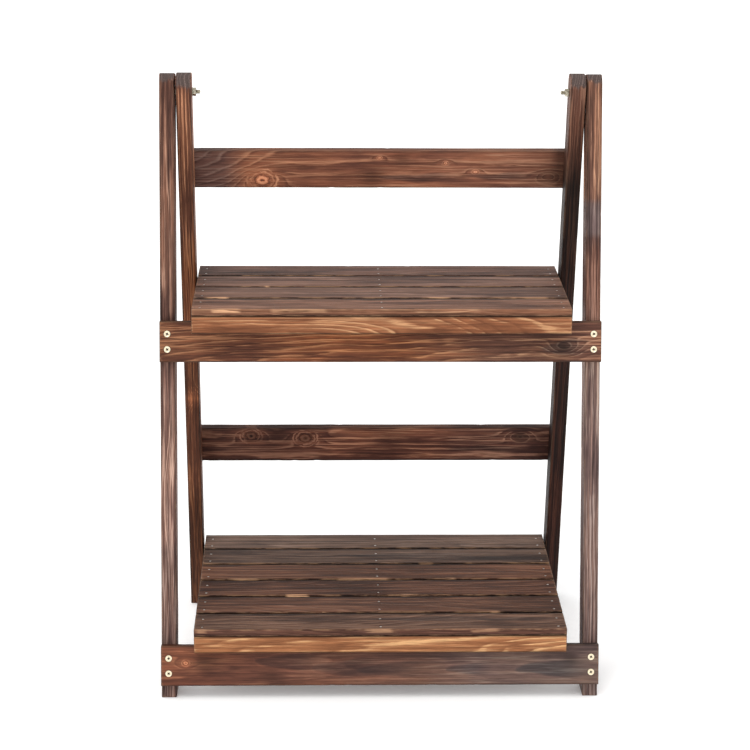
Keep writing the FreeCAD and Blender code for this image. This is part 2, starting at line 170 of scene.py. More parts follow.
def along(*stops, scorches=(), tongues=(), crown=0.0, arris=0.0):
    """Tint that changes along the board, (u, (r, g, b)) stops; scorched spots, (u, v, radius, darkness); tongues;
    and how dark a rail's two edges and a leg's four arrises are."""
    def run(u, v, w, tones, tints, bare):
        for c in range(3):
            tints[:, c] *= np.interp(u, [s[0] for s in stops], [s[1][c] for s in stops])
        for su, sv, r, dark in scorches:
            tints *= 1 - dark * np.exp(-((u - su) / (1.3 * r)) ** 2 - ((v - sv) / r) ** 2)[:, None]
        tongue_tone(u, v, tints, tongues)
        if crown:
            tones[:, 2] *= 1 - 0.7 * step(23.0, 26.0, np.abs(v))
            tints *= 1 - crown * step(25.2, 26.9, np.abs(v))[:, None]
        if arris:
            corner = step(8.3, 9.4, np.abs(w)) * step(16.8, 17.9, np.abs(v))
            tones[:, 2] *= 1 - 0.7 * corner
            tints *= 1 - arris * corner[:, None]
    return run


def slat_tone(front, splinters, seed, deep, tongues):
    """Painted shade of the gaps, with char: the sawn sides and an uneven band along the rear edge of the top are
    darkened.
    The front slat's free edge is rubbed, with painted shade low on its face over the lip. deep is how far the dark band
    reaches in from the rear edge."""
    def run(u, v, w, tones, tints, bare):
        tongue_tone(u, v, tints, tongues)
        side = step(26.0, 27.0, np.abs(v))
        if front:
            rubbed = side * (v < 0)
            side = side * (v > 0)
            tones[:, 0] += 0.12 * rubbed
            tints *= 1 + rubbed[:, None] * np.array(front)
            # painted shade low on the front slat's free face, in the joint over the lip
            tints *= 1 - 0.75 * (rubbed * step(2.6, 3.9, -w))[:, None]
        # painted shade of the gaps on the sawn sides, with char
        tints *= 1 - 0.75 * side[:, None]
        # painted shade of the gaps, with char: an uneven dark band along the top's rear edge
        reach = 22.5 - deep * (1 + noise(u / 75, 0, 0, seed + 31) + 0.4 * noise(u / 18, 0, 0, seed + 32))
        tints *= 1 - 0.62 * (step(reach, reach + 4.5, v) * (w > 0))[:, None]
        for a, b, gain in splinters:
            mark = step(a, a + 7, u) * step(-b, 7 - b, -u) * step(23.6, 25.4, -v) * (w > 0)
            bare += gain * mark
    return run


def lip_tone(gain):
    """Painted shade: the top, in the joint under the slats, and the lower arris, over the gap to the rail, are
    darkened.
    """
    def run(u, v, w, tones, tints, bare):
        tints *= gain
        tones[:, 2] *= 1 - step(8.5, 10.5, np.abs(v))
        # painted shade in the joint under the slats
        tints *= 1 - 0.80 * step(10.4, 11.9, v)[:, None]
        # painted shade along the lower arris, over the gap to the rail
        tints *= 1 - 0.72 * step(9.2, 11.2, -v)[:, None]
    return run


def cutter(cuts, hv, hw):
    """Sinkings, as one mesh of turned plugs: (u, v, face of w or v, bottom radius, top radius, depth)."""
    bm = bmesh.new()
    for u, v, face, r0, r1, depth in cuts:
        rings = []
        for z, r in ((-depth, r0), (1.0, r1 + (r1 - r0) / depth)):
            rings.append([bm.verts.new((u + r * math.cos(a), v + r * math.sin(a), face * (hw + z))) for a in np.linspace(0, 2 * math.pi, 29)[:-1]])
        n = len(rings[0])
        for i in range(n):
            bm.faces.new((rings[0][i], rings[0][(i + 1) % n], rings[1][(i + 1) % n], rings[1][i]))
        bm.faces.new(rings[0][::-1])
        bm.faces.new(rings[1])
    bmesh.ops.recalc_face_normals(bm, faces=bm.faces)
    me = bpy.data.meshes.new("cut")
    bm.to_mesh(me)
    bm.free()
    return me


def board(name, body, slot, material, origin, axes, span, hv, hw, grain, seed, tone=(0, 1, 1), tint=(1, 1, 1),
          radius=1.3, pitch=6.0, dv=2.0, cuts=(), chips=1.0, round_end=False, foot=0.0, paint=None):
    """One wooden board.  span is (u0, u1); a round end has its upper end rolled over across the face."""
    u0, u1 = span
    nv, nw = max(2, int(round(2 * hv / dv))), max(2, int(round(2 * hw / dv)))
    re = 0.8 * radius
    fine = [k[0] for k in grain.get("knots", ())]
    secs = []
    for t in (90, 60, 30):
        a = math.radians(t)
        secs.append((u0 + re - re * math.sin(a), re * (1 - math.cos(a)), re * (1 - math.cos(a))))
    top = u1 - 14.0 if round_end else u1 - re
    for u in stations(u0 + re, top, pitch, fine):
        secs.append((u, 0.0, 0.0))
    if not round_end:
        for t in (30, 60, 90):
            a = math.radians(t)
            secs.append((u1 - re + re * math.sin(a), re * (1 - math.cos(a)), re * (1 - math.cos(a))))
    else:
        for t in np.linspace(0, 90, 15)[1:]:
            a = math.radians(t)
            u = u1 - 14 + 14 * math.sin(a)
            over = max(0.0, u - (u1 - radius))
            secs.append((u, 14 * (1 - math.cos(a)), radius - math.sqrt(max(0.0, radius * radius - over * over))))
    co, tags = [], []
    for u, in_v, in_w in secs:
        r = max(radius - min(in_v, in_w), 0.25 * radius)
        p, n, c = ring_loop(hv - in_v, hw - in_w, r, nv, nw)
        co.append(np.column_stack((np.full(len(p), u), p)))
        tags.append(np.column_stack((n, c)))
    count = len(co[0])
    co, tags = np.concatenate(co), np.concatenate(tags)
    # worn faces and chipped edges: every move is inward, so the board keeps its size
    u, v, w = co.T
    quad = (v > 0) * 2 + (w > 0)
    move = 0.10 + 0.10 * noise(u / 60, v / 5.5, w / 5.5, seed) + 0.06 * noise(u / 14, v / 3, w / 3, seed + 9)
    wear = 0.16 + 0.14 * noise(u / 22, quad * 7.7, 0.5, seed + 5)
    bite = step(0.42, 0.8, noise(u / 11, quad * 5.1, 2.5, seed + 6)) * 0.85 * chips
    move = np.clip(move, 0, None) + tags[:, 2] * (wear + bite)
    fade = step(0, 5, np.minimum(u - u0, u1 - u)) * 0.85 + 0.15
    co[:, 1] -= tags[:, 0] * move * fade
    co[:, 2] -= tags[:, 1] * move * fade
    faces = []
    for k in range(len(secs) - 1):
        a = k * count
        for i in range(count):
            j = (i + 1) % count
            faces.append((a + i, a + j, a + count + j, a + count + i))
    # end faces, as shrinking rings so that the end grain has points to follow
    for base, flip in ((0, True), ((len(secs) - 1) * count, False)):
        ring = np.arange(base, base + count)
        outer = co[ring].copy()
        for s in (0.8, 0.6, 0.4, 0.2):
            start = len(co)
            inner = outer.copy()
            inner[:, 1:] *= s
            co = np.vstack((co, inner))
            nxt = np.arange(start, start + count)
            for i in range(count):
                j = (i + 1) % count
                f = (ring[i], ring[j], nxt[j], nxt[i])
                faces.append(tuple(int(q) for q in (f[::-1] if flip else f)))
            ring = nxt
        mid = len(co)
        co = np.vstack((co, [[outer[0, 0], 0, 0]]))
        for i in range(count):
            j = (i + 1) % count
            f = (int(ring[i]), int(ring[j]), mid)
            faces.append(f[::-1] if flip else f)
    if foot:
        co[:, 0] += foot * co[:, 1] * (1 - step(u0, u0 + 70, co[:, 0]))
    me = bpy.data.meshes.new(name)
    me.from_pydata(co.tolist(), [], faces)
    me.update()
    ob = bpy.data.objects.new(name, me)
    bpy.context.scene.collection.objects.link(ob)
    if cuts:
        tool = bpy.data.objects.new("cut", cutter(cuts, hv, hw))
        bpy.context.scene.collection.objects.link(tool)
        mod = ob.modifiers.new("cut", "BOOLEAN")
        mod.operation, mod.solver, mod.object = "DIFFERENCE", "EXACT", tool
        bpy.context.view_layer.update()
        done = bpy.data.meshes.new_from_object(ob.evaluated_get(bpy.context.evaluated_depsgraph_get()))
        ob.modifiers.clear()
        ob.data = done
        tool_mesh = tool.data
        bpy.data.objects.remove(tool)
        bpy.data.meshes.remove(tool_mesh)
        bpy.data.meshes.remove(me)
        me = done
        me.name = name
    # what the finish reads at each point
    n = len(me.vertices)
    co = np.zeros(n * 3)
    me.vertices.foreach_get("co", co)
    co = co.reshape(-1, 3)
    u, v, w = co.T
    if foot:
        u = u - foot * v * (1 - step(u0, u0 + 70, u))
    du = np.minimum(u - u0, u1 - u)
    edge = np.sort(np.column_stack((hv - np.abs(v), hw - np.abs(w), du)), 1)[:, 1]
    if not round_end:
        end = step(u1 - re, u1 - 0.15 * re, u) + step(-u0 - re, -u0 - 0.15 * re, -u)
    else:
        round_top = step(0.0, 0.46, (u - (u1 - 14)) / 14 + 0.26 * noise(v / 2.6, w / 2.6, 0, seed + 8)) * (1 - step(hw - 0.9 * radius, hw - 0.2 * radius, np.abs(w)))
        end = round_top + step(-u0 - re, -u0 - 0.15 * re, -u)
        edge = np.where(u > u1 - 15, np.maximum(edge, hw - np.abs(w)), edge)
    tones = np.tile(np.array(tone, float), (n, 1))
    tints = np.tile(np.array(tint, float), (n, 1))
    bare = np.zeros(n)
    if paint is not None:
        paint(u, v, w, tones, tints, bare)
    knots = knot_field(u, v, w, grain)
    shift = np.array((seed * 0.731 % 7, seed * 1.337 % 5, seed * 2.113 % 6))

    def put(label, kind, data, prop):
        at = me.attributes.new(label, kind, "POINT")
        at.data.foreach_set(prop, np.ascontiguousarray(data, np.float32).ravel())

    put("gp", "FLOAT_VECTOR", co * 0.001 + shift, "vector")
    put("wd", "FLOAT_VECTOR", np.column_stack((ring_phase(u, v, w, grain, seed), np.clip(edge, 0, 60), np.clip(end, 0, 1))), "vector")
    put("tn", "FLOAT_VECTOR", tones, "vector")
    put("tint", "FLOAT_VECTOR", tints, "vector")
    put("kn", "FLOAT", knots, "value")
    put("bare", "FLOAT", np.clip(bare, 0, 1), "value")
    eu, ev, ew = axes
    m = Matrix([[eu[i] * 0.001, ev[i] * 0.001, ew[i] * 0.001, origin[i] * 0.001] for i in range(3)] + [[0, 0, 0, 1]])
    me.transform(m)
    me.materials.clear()
    me.materials.append(material)
    me.polygons.foreach_set("use_smooth", [True] * len(me.polygons))
    me.polygons.foreach_set("material_index", [0] * len(me.polygons))
    me.set_sharp_from_angle(angle=math.radians(38))
    me.update()
    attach(ob, body)
    return ob


# ---- finishes ---------------------------------------------------------------
class Tree:
    def __init__(self, name):
        self.mat = bpy.data.materials.new(name)
        self.mat.use_nodes = True
        self.nt = self.mat.node_tree
        self.nt.nodes.clear()
        self.out = self.nt.nodes.new("ShaderNodeOutputMaterial")
        self.bsdf = self.nt.nodes.new("ShaderNodeBsdfPrincipled")
        self.nt.links.new(self.bsdf.outputs[0], self.out.inputs[0])

    def link(self, a, b):
        self.nt.links.new(a, b)

    def attr(self, name):
        n = self.nt.nodes.new("ShaderNodeAttribute")
        n.attribute_name = name
        return n

    def math(self, op, a, b=None, c=None, clamp=False):
        n = self.nt.nodes.new("ShaderNodeMath")
        n.operation, n.use_clamp = op, clamp
        for s, x in zip(n.inputs, (a, b, c)):
            if x is None:
                continue
            if isinstance(x, (int, float)):
                s.default_value = x
            else:
                self.link(x, s)
        return n.outputs[0]

    def vec(self, op, a, b):
        n = self.nt.nodes.new("ShaderNodeVectorMath")
        n.operation = op
        for s, x in zip(n.inputs, (a, b)):
            if isinstance(x, tuple):
                s.default_value = x
            else:
                self.link(x, s)
        return n.outputs[0]

    def noise(self, vector, detail=4, rough=0.55, distort=0.0, scale=1.0):
        n = self.nt.nodes.new("ShaderNodeTexNoise")
        n.inputs["Scale"].default_value = scale
        n.inputs["Detail"].default_value = detail
        n.inputs["Roughness"].default_value = rough
        n.inputs["Distortion"].default_value = distort
        self.link(vector, n.inputs["Vector"])
        return n.outputs[0]

    def ramp(self, fac, stops, mode="LINEAR"):
        n = self.nt.nodes.new("ShaderNodeValToRGB")
        n.color_ramp.interpolation = mode
        e = n.color_ramp.elements
        while len(e) < len(stops):
            e.new(0.5)
        for x, (p, c) in zip(e, stops):
            x.position = p
            x.color = (c, c, c, 1) if isinstance(c, (int, float)) else (*c, 1)
        self.link(fac, n.inputs[0])
        return n.outputs[0]

    def mix(self, fac, a, b, mode="MIX"):
        n = self.nt.nodes.new("ShaderNodeMix")
        n.data_type, n.blend_type = "RGBA", mode
        for s, x in zip((n.inputs[0], n.inputs[6], n.inputs[7]), (fac, a, b)):
            if isinstance(x, tuple):
                s.default_value = (*x, 1)
            elif isinstance(x, (int, float)):
                s.default_value = x
            else:
                self.link(x, s)
        return n.outputs[2]

    def smooth(self, x, lo, hi):
        n = self.nt.nodes.new("ShaderNodeMapRange")
        n.interpolation_type = "SMOOTHSTEP"
        self.link(x, n.inputs[0])
        n.inputs[1].default_value, n.inputs[2].default_value = lo, hi
        return n.outputs[0]


def wood(name, dark, mid, warm, line, pale, end=(0.078, 0.058, 0.049), rough=0.60, sheen=0.18, contrast=1.0, patchy=1.0, fine=0.85):
    """Carbonised softwood: charred early wood, paler brushed ridges, knots, end grain and worn edges.
    contrast sets the streaks along the grain, patchy how unevenly the flame passed, fine the thin brushed lines."""
    t = Tree(name)
    gp = t.attr("gp").outputs["Vector"]
    wd = t.nt.nodes.new("ShaderNodeSeparateXYZ")
    t.link(t.attr("wd").outputs["Vector"], wd.inputs[0])
    tn = t.nt.nodes.new("ShaderNodeSeparateXYZ")
    t.link(t.attr("tn").outputs["Vector"], tn.inputs[0])
    tint = t.attr("tint").outputs["Vector"]
    kn = t.attr("kn").outputs["Fac"]
    kn = t.math("ADD", kn, t.math("MULTIPLY", t.math("SUBTRACT", t.noise(t.vec("MULTIPLY", gp, (150, 230, 230)), 3, 0.6), 0.5), 0.9))
    phase, edge, endg = wd.outputs
    char, strength, wear = tn.outputs
    streak = t.noise(t.vec("MULTIPLY", gp, (5, 290, 290)), 6, 0.68)
    fibre = t.noise(t.vec("MULTIPLY", gp, (40, 1000, 1000)), 4, 0.68)
    blotch = t.noise(t.vec("MULTIPLY", gp, (6, 26, 26)), 3, 0.55, 0.4)
    wobble = t.noise(t.vec("MULTIPLY", gp, (14, 70, 70)), 3, 0.55)
    # growth rings: a slow rise, then a crisp fall after the hard late wood
    f = t.math("FRACT", t.math("ADD", phase, t.math("MULTIPLY", t.math("SUBTRACT", wobble, 0.5), 0.8)))
    late = t.ramp(f, [(0.0, 0.0), (0.45, 0.03), (0.66, 0.16), (0.78, 0.85), (0.87, 1.0), (0.93, 0.25), (1.0, 0.0)])
    comes = t.smooth(t.math("ADD", streak, t.math("MULTIPLY", t.math("SUBTRACT", blotch, 0.5), 0.9)), 0.38, 0.60)
    ridge = t.math("MULTIPLY", t.math("MULTIPLY", late, comes), strength, clamp=True)
    # how far the flame went: dark, brown, then warm where it only touched
    cb, cs = 1.1 * patchy, 1.5 * contrast
    burn = t.math("ADD", t.math("ADD", t.math("MULTIPLY", blotch, cb), t.math("MULTIPLY", streak, cs)), 0.5 - 0.5 * (cb + cs))
    burn = t.math("ADD", burn, char)
    base = t.ramp(burn, [(0.12, dark), (0.46, mid), (0.86, warm)])
    # bands of harder and softer fibre along the board, and the thin pale lines that brushing leaves
    soft = t.ramp(streak, [(0.33, 1 - 0.58 * contrast), (0.5, 0.97), (0.67, 1 + 0.60 * contrast)])
    base = t.mix(1.0, base, soft, "MULTIPLY")
    col = t.mix(ridge, base, line)
    early = t.math("MULTIPLY", t.math("ADD", t.smooth(f, 0.30, 0.02), t.smooth(f, 0.93, 0.99)), 0.62, clamp=True)
    col = t.mix(early, col, t.mix(0.6, base, dark))
    bands = t.noise(t.vec("MULTIPLY", gp, (3.2, 150, 150)), 2, 0.5)
    thin = t.smooth(t.math("ABSOLUTE", t.math("SUBTRACT", bands, 0.5)), 0.036, 0.012)
    thin = t.math("MULTIPLY", t.math("MULTIPLY", thin, comes), t.math("MULTIPLY", strength, fine), clamp=True)
    col = t.mix(thin, col, line)
    shade = t.ramp(fibre, [(0.25, 0.50), (0.5, 1.0), (0.75, 1.45)])
    col = t.mix(1.0, col, shade, "MULTIPLY")
    # knots: a dark heart in orange wood, a pale ring, a thin burnt rim and a warm halo of turned grain
    halo = t.math("MULTIPLY", t.smooth(kn, 3.6, 1.0), t.smooth(streak, 0.36, 0.60))
    col = t.mix(t.math("MULTIPLY", halo, 0.8), col, tuple(c * 1.25 for c in warm))
    heart = t.ramp(t.math("MULTIPLY", kn, 0.8), [(0.0, dark), (0.13, tuple(c * 0.8 for c in dark)), (0.22, tuple(c * 1.5 for c in warm)), (0.44, tuple(min(1, c * 1.45) for c in line)), (0.62, tuple(c * 1.6 for c in warm)), (0.80, dark)])
    col = t.mix(t.math("MULTIPLY", t.smooth(kn, 1.12, 0.94), t.ramp(fibre, [(0.3, 0.75), (0.6, 0.95)])), col, heart)
    wreath = [t.smooth(t.math("ABSOLUTE", t.math("SUBTRACT", kn, at)), 0.20, 0.06) for at in (1.5, 2.05)]
    wreath = t.math("MULTIPLY", t.math("ADD", wreath[0], wreath[1], clamp=True), t.smooth(t.noise(t.vec("MULTIPLY", gp, (60, 90, 90)), 2, 0.5), 0.36, 0.56))
    col = t.mix(t.math("MULTIPLY", wreath, 0.75), col, tuple(min(1, c * 1.4) for c in line))
    col = t.mix(1.0, col, tint, "MULTIPLY")
    # rubbed edges, and a few pale splinters where the fibres tore
    rub = t.math("MULTIPLY", t.smooth(edge, 2.6, 0.3), t.smooth(t.noise(t.vec("MULTIPLY", gp, (38, 260, 260)), 4, 0.6), 0.42, 0.62))
    col = t.mix(t.math("MULTIPLY", t.math("MULTIPLY", rub, wear), 0.8, clamp=True), col, pale)
    torn = t.smooth(t.noise(t.vec("MULTIPLY", gp, (16, 420, 420)), 3, 0.5), 0.70, 0.76)
    torn = t.math("MULTIPLY", torn, t.smooth(edge, 4.5, 0.8))
    col = t.mix(t.math("MULTIPLY", torn, wear, clamp=True), col, tuple(min(1, c * 1.9) for c in pale))
    sliver = t.smooth(t.noise(t.vec("MULTIPLY", gp, (24, 380, 380)), 3, 0.5), 0.36, 0.52)
    col = t.mix(t.math("MULTIPLY", t.attr("bare").outputs["Fac"], sliver), col, tuple(min(1, c * 1.8) for c in pale))
    # end grain: open pores, darker and greyer
    pores = t.noise(t.vec("MULTIPLY", gp, (500, 1300, 1300)), 3, 0.6)
    grey = t.mix(late, tuple(c * 0.75 for c in end), tuple(c * 1.5 for c in end))
    grey = t.mix(1.0, grey, t.ramp(pores, [(0.3, 0.5), (0.7, 1.4)]), "MULTIPLY")
    col = t.mix(endg, col, grey)
    t.link(col, t.bsdf.inputs["Base Color"])
    rg = t.math("ADD", t.math("MULTIPLY", fibre, 0.34), t.math("MULTIPLY", ridge, -0.10))
    rg = t.math("ADD", rg, t.math("MULTIPLY", endg, 0.22))
    t.link(t.math("ADD", rg, rough - 0.17, clamp=True), t.bsdf.inputs["Roughness"])
    high = t.math("ADD", t.math("MULTIPLY", late, 0.55), t.math("MULTIPLY", fibre, 0.75))
    high = t.math("ADD", high, t.math("MULTIPLY", streak, 0.5))
    high = t.math("SUBTRACT", high, t.math("MULTIPLY", t.math("MULTIPLY", pores, endg), 0.8))
    bump = t.nt.nodes.new("ShaderNodeBump")
    bump.inputs["Strength"].default_value = 0.55
    bump.inputs["Distance"].default_value = 0.0009
    t.link(high, bump.inputs["Height"])
    t.link(bump.outputs[0], t.bsdf.inputs["Normal"])
    t.bsdf.inputs["Specular IOR Level"].default_value = sheen
    return t.mat


def plated(name, bright, dull, rough):
    """Zinc plate: cloudy spangle, handling scratches, and a near-black drive recess: soiling with painted shade."""
    t = Tree(name)
    tc = t.attr("gp").outputs["Vector"]
    cloud = t.noise(t.vec("MULTIPLY", tc, (420, 420, 420)), 4, 0.6)
    grit = t.noise(t.vec("MULTIPLY", tc, (2600, 2600, 2600)), 3, 0.6)
    lines = t.noise(t.vec("MULTIPLY", tc, (300, 5200, 5200)), 2, 0.5)
    # the drive recess turns near-black: soiling with painted shade
    grime_and_shade = t.smooth(t.attr("dirt_and_shade").outputs["Fac"], 0.02, 0.55)
    t.link(t.mix(grime_and_shade, t.ramp(cloud, [(0.3, dull), (0.7, bright)]), (0.03, 0.022, 0.016)), t.bsdf.inputs["Base Color"])
    t.bsdf.inputs["Metallic"].default_value = 1.0
    rg = t.math("ADD", t.math("MULTIPLY", grit, 0.22), t.math("MULTIPLY", lines, 0.16))
    t.link(t.math("ADD", t.math("ADD", rg, rough - 0.19), t.math("MULTIPLY", grime_and_shade, 0.4)), t.bsdf.inputs["Roughness"])
    bump = t.nt.nodes.new("ShaderNodeBump")
    bump.inputs["Strength"].default_value = 0.25
    bump.inputs["Distance"].default_value = 0.0001
    t.link(t.math("ADD", t.math("MULTIPLY", grit, 0.6), lines), bump.inputs["Height"])
    t.link(bump.outputs[0], t.bsdf.inputs["Normal"])
    return t.mat


LEG = wood("leg_wood", (0.040, 0.017, 0.011), (0.120, 0.056, 0.036), (0.235, 0.108, 0.058), (0.50, 0.30, 0.185), (0.36, 0.21, 0.125), end=(0.109, 0.077, 0.069), contrast=0.85, fine=1.0)
RAIL = wood("rail_wood", (0.040, 0.017, 0.012), (0.125, 0.050, 0.030), (0.260, 0.100, 0.046), (0.45, 0.235, 0.125), (0.32, 0.17, 0.095), contrast=0.5, patchy=1.1)
SMOOTH = wood("planed_rail_wood", (0.042, 0.018, 0.013), (0.130, 0.054, 0.033), (0.250, 0.100, 0.050), (0.40, 0.215, 0.120), (0.30, 0.16, 0.09), contrast=0.26, patchy=1.0)
SLAT = wood("slat_wood", (0.036, 0.020, 0.015), (0.100, 0.054, 0.037), (0.190, 0.100, 0.064), (0.26, 0.155, 0.105), (0.40, 0.225, 0.125), sheen=0.12, contrast=0.7)
LIP = wood("lip_wood", (0.130, 0.046, 0.018), (0.300, 0.118, 0.048), (0.420, 0.180, 0.075), (0.64, 0.36, 0.170), (0.60, 0.36, 0.19), end=(0.15, 0.07, 0.038), contrast=0.45, patchy=0.8, fine=0.35)
BATTEN = wood("batten_wood", (0.050, 0.022, 0.014), (0.120, 0.054, 0.033), (0.200, 0.092, 0.050), (0.320, 0.175, 0.100), (0.30, 0.175, 0.105))
ZINC = plated("zinc_steel", (0.97, 0.885, 0.69), (0.80, 0.66, 0.43), 0.30)
BRIGHT = plated("bright_steel", (0.70, 0.65, 0.52), (0.11, 0.09, 0.06), 0.26)
STEEL = plated("nail_steel", (0.78, 0.74, 0.68), (0.42, 0.38, 0.34), 0.42)

# ---- the wooden pieces ------------------------------------------------------
SCREW_V = (-10.5, 10.5)


def rail(label, body, s, half, y_axis, z_axis, y_mid, grain, seed, outer, material=RAIL, **more):
    origin = PIVOT + y_axis * y_mid + z_axis * (28 - s)
    at = half - 10.5
    cuts = [(sx * at, v, outer, 4.3, 5.0, 2.9) for sx in (-1, 1) for v in SCREW_V]
    ob = board(label + "_board", body, "rail_wood", material, origin, (X, z_axis, -y_axis), (-half, half), 28.0, 6.5, grain, seed, cuts=cuts, **more)
    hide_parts(label)
    return ob


rail("front_rail_lower", "front_frame", 810.6, 300.0, FRONT_Y, FRONT_Z, -25.5,
     dict(pith=(2, -44), tilt=(0.01, -0.09), ring=20.0, knots=[(-266, 4, 3.4, "v")]), 11, 1, SMOOTH, tone=(0.02, 0.3, 0.8), pitch=3.0,
     paint=along((-300, (1.09, 0.86, 0.77)), (-100, (0.86, 0.79, 0.84)), (60, (0.70, 0.80, 0.97)), (130, (0.87, 1.23, 1.72)), (300, (0.72, 1.07, 1.54)),
                 scorches=[(-238, 3, 14, 0.5), (-150, -18, 13, 0.35), (262, 8, 10, 0.45)],
                 tongues=[(-170, 5, 12, 110, (0.60, 0.66, 0.76)), (-94, -3, 13, 130, (0.76, 0.83, 0.91)), (-33, -6, 11, 125, (0.77, 0.85, 0.93)),
                          (90, -6, 8, 70, (0.62, 0.70, 0.80)), (186, -6, 12, 120, (0.58, 0.70, 0.80))], crown=0.6))
rail("front_rail_upper", "front_frame", 365.7, 300.0, FRONT_Y, FRONT_Z, -25.5,
     dict(pith=(-34, -64), tilt=(0.03, 0.02), ring=3.4, knots=[(250, -8, 6.5, "buried")]), 23, 1, tone=(0.06, 1.1, 1.0),
     paint=along((-300, (0.69, 0.59, 0.53)), (-180, (0.81, 0.67, 0.61)), (-60, (1.10, 0.88, 0.70)), (30, (1.16, 0.93, 0.72)), (150, (1.13, 1.18, 1.24)), (300, (0.84, 0.82, 0.92)), scorches=[(248, -8, 12, 0.50), (249, -8, 4, 0.45), (238, -6, 19, 0.25), (215, 4, 12, 0.25)],
                 tongues=[(216, -9, 12, 84, (0.66, 0.74, 0.90))], crown=0.6))
rail("back_rail_lower", "back_frame", 593.7, 277.5, BACK_Y, BACK_Z, 25.5,
     dict(pith=(21, -24), tilt=(0.01, 0.01), ring=6.4, drift=4.5, knots=[(-104, 11, 7.0, "v"), (-184, 15, 6.5, "v"), (214, 14, 6.0, "buried")]), 37, -1, tone=(0.0, 1.35, 0.8),
     paint=along((-278, (0.44, 0.39, 0.46)), (-150, (0.51, 0.45, 0.54)), (-90, (0.60, 0.53, 0.63)), (-60, (1.00, 0.87, 0.94)), (80, (1.00, 0.88, 0.95)), (120, (0.75, 0.71, 0.85)), (278, (0.60, 0.57, 0.71)),
                 scorches=[(-104, 11, 8, 0.7), (-184, 15, 8, 0.7), (214, 14, 9, 0.7), (-145, 16, 14, 0.3), (20, 16, 22, 0.3)],
                 tongues=[(100, -7, 5, 150, (0.55, 0.60, 0.66))], crown=0.5))
rail("back_rail_upper", "back_frame", 150.8, 277.5, BACK_Y, BACK_Z, 25.5,
     dict(pith=(40, -20), rise=(-320, -120, -50), ring=7.5, knots=[(-163, -16, 8.2, "v"), (0, 18, 2.4, "v"), (92, 10, 2.6, "v"), (134, -3, 3.0, "v"), (236, -10, 5.0, "buried")]), 41, -1, SMOOTH, tone=(0.10, 0.75, 0.8),
     # the tint falls at both ends, beside the legs: painted shade where the rail passes behind them
     paint=along((-278, (0.49, 0.57, 0.86)), (-215, (0.57, 0.62, 0.86)), (-185, (1.03, 0.88, 0.85)), (50, (1.04, 0.89, 0.90)), (110, (1.15, 1.05, 1.10)), (236, (0.98, 0.92, 1.0)), (249, (0.46, 0.41, 0.44)), (278, (0.40, 0.36, 0.38)),
                 scorches=[(-163, -32, 10, 0.6), (-163, -16, 6, -0.6), (-10, -12, 14, 0.5), (30, 16, 10, 0.35), (236, -10, 14, 0.45)],
                 tongues=[(0, -12, 7, 130, (0.55, 0.60, 0.72)), (120, -10, 6, 120, (0.60, 0.64, 0.74))], crown=0.4))


def leg(label, body, x_mid, y_axis, z_axis, foot, outer, pivots, grain, seed, **more):
    cuts = [(u, 0.0, outer, 7.0, 7.0, 2.5) for u in pivots]
    origin = PIVOT + X * x_mid
    ob = board(label + "_board", body, "leg_wood", LEG, origin, (z_axis, -y_axis, X), (-825.5735, 25.0), 19.0, 10.5, grain, seed,
               cuts=cuts, round_end=True, foot=foot, radius=1.5, pitch=7.0, **more)
    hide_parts(label)
    return ob


TOE = math.tan(LEAN)
leg("front_leg_left", "front_frame", -289.5, FRONT_Y, FRONT_Z, -TOE, -1, [0.0], dict(pith=(8, 62), tilt=(0, 0.012), ring=3.6, drift=5.0), 53, tone=(0.03, 0.75, 0.7),
    paint=along((-826, (0.72, 0.79, 1.06)), (-628, (0.73, 0.81, 1.07)), (-602, (1.22, 1.33, 1.70)), (-545, (1.25, 1.36, 1.73)), (-520, (1.18, 1.27, 1.59)), (-400, (1.22, 1.30, 1.61)), (-320, (0.75, 0.71, 0.81)), (-160, (0.75, 0.70, 0.78)), (25, (0.80, 0.68, 0.70)), arris=0.5))
leg("front_leg_right", "front_frame", 289.5, FRONT_Y, FRONT_Z, -TOE, 1, [0.0], dict(pith=(-12, -70), tilt=(0, -0.015), ring=3.8, knots=[(-180, 1, 7, "buried")]), 59, tone=(0.06, 0.65, 0.8),
    paint=along((-826, (0.77, 0.97, 1.40)), (-580, (0.80, 1.00, 1.42)), (-450, (1.26, 1.64, 2.26)), (-380, (1.20, 1.54, 2.05)), (-320, (0.80, 0.75, 0.90)), (-215, (0.72, 0.64, 0.73)), (-198, (0.76, 0.80, 1.0)), (-190, (1.10, 1.55, 2.25)), (-152, (1.10, 1.55, 2.25)), (-143, (1.34, 1.30, 1.33)), (25, (1.38, 1.31, 1.28)), arris=0.5))
leg("back_leg_left", "back_frame", -267.0, BACK_Y, BACK_Z, TOE, -1, [-735.03, -290.13], dict(pith=(10, 58), tilt=(0, -0.016), ring=4.4, knots=[(-466, 19, 5.0, "buried")]), 61, tone=(0.03, 1.0, 0.5),
    paint=along((-826, (0.31, 0.19, 0.125)), (-645, (0.32, 0.20, 0.135)), (-600, (0.97, 0.70, 0.53)), (-520, (0.99, 0.71, 0.53)), (-462, (0.92, 0.66, 0.46)), (-330, (0.62, 0.39, 0.25)), (-260, (0.60, 0.39, 0.26)), (-195, (1.04, 0.79, 0.65)), (25, (1.25, 0.97, 0.84)),
                scorches=[(-466, 19, 10, -0.85)], arris=0.4))
leg("back_leg_right", "back_frame", 267.0, BACK_Y, BACK_Z, TOE, 1, [-735.03, -290.13], dict(pith=(-6, -60), tilt=(0, 0.02), ring=4.2), 67, tone=(-0.08, 0.45, 0.3),
    paint=along((-826, (0.21, 0.120, 0.115)), (-330, (0.135, 0.083, 0.08)), (-130, (0.135, 0.115, 0.107)), (-95, (0.40, 0.33, 0.32)), (-50, (0.60, 0.48, 0.48)), (25, (0.66, 0.56, 0.58))))
